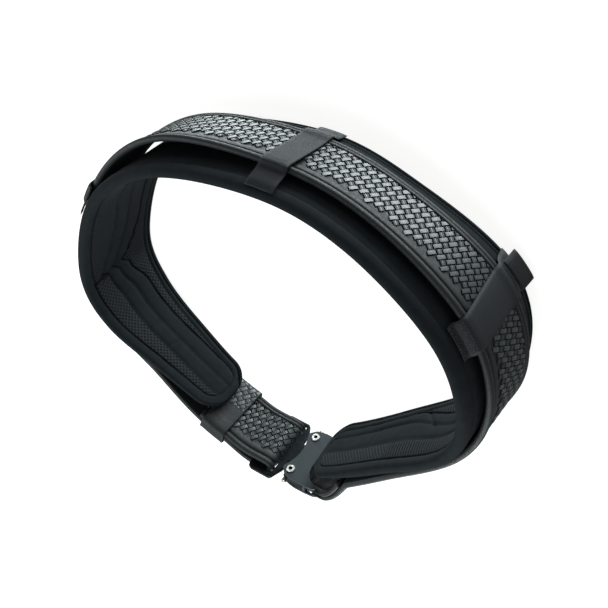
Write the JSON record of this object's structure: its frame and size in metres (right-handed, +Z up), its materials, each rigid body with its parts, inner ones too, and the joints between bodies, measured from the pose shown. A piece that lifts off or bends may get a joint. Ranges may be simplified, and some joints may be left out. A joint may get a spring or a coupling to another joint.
{
  "type": "duty belt",
  "caption": "Basketweave leather duty belt with piped edges on a padded waist liner, held by webbing keepers and closed in front by a metal plate buckle with side release levers.",
  "frame": {"origin": "on the floor under the middle of the belt, which stands on the lower rim of its liner", "axes": "+Z up, -Y towards the buckle, +X towards the left hand of the person who wears it"},
  "size_m": [0.435, 0.3908, 0.1003],
  "materials": {
    "belt_leather": "black full-grain leather stamped with a basketweave, semi-gloss, piped edges",
    "liner_shell": "matte black brushed nylon over foam",
    "liner_mesh": "black ribbed spacer mesh",
    "webbing": "black ribbed nylon webbing with a soft sheen",
    "buckle_plate": "satin dark grey coating with fine grain",
    "buckle_frame": "satin near-black coating",
    "bright_steel": "bright plated steel",
    "button_nickel": "worn nickel plating"
  },
  "bodies": {
    "belt": {"buckle_plate_inner": "buckle_plate", "buckle_plate_outer": "buckle_plate", "buckle_core": "buckle_frame", "tongue_frame": "buckle_frame", "screw_top": "bright_steel", "screw_bottom": "bright_steel", "rear_pin": "bright_steel", "liner_pad": "liner_shell", "liner_mesh_upper": "liner_mesh", "liner_mesh_lower": "liner_mesh", "duty_belt": "belt_leather", "keeper_web_back": "webbing", "keeper_web_left": "webbing", "keeper_web_right": "webbing", "pull_tab": "webbing", "keeper_loop": "belt_leather"},
    "lever_top": {"release_lever_top": "buckle_frame", "release_button_top": "button_nickel"},
    "lever_bottom": {"release_lever_bottom": "buckle_frame", "release_button_bottom": "button_nickel"}
  },
  "joints": [
    {"name": "top_lever_hinge", "type": "hinge", "parent": "belt", "child": "lever_top", "pos_m": [0.03076, -0.18532, 0.06726], "axis": [0.0082, -0.9902, -0.1392], "range_deg": [0, 5], "stiffness_Nm_per_rad": 1.5, "springref_deg": -2.86},
    {"name": "bottom_lever_hinge", "type": "hinge", "parent": "belt", "child": "lever_bottom", "pos_m": [0.03071, -0.1785, 0.01874], "axis": [-0.0082, 0.9902, 0.1392], "range_deg": [0, 5], "stiffness_Nm_per_rad": 1.5, "springref_deg": -2.86}
  ]
}
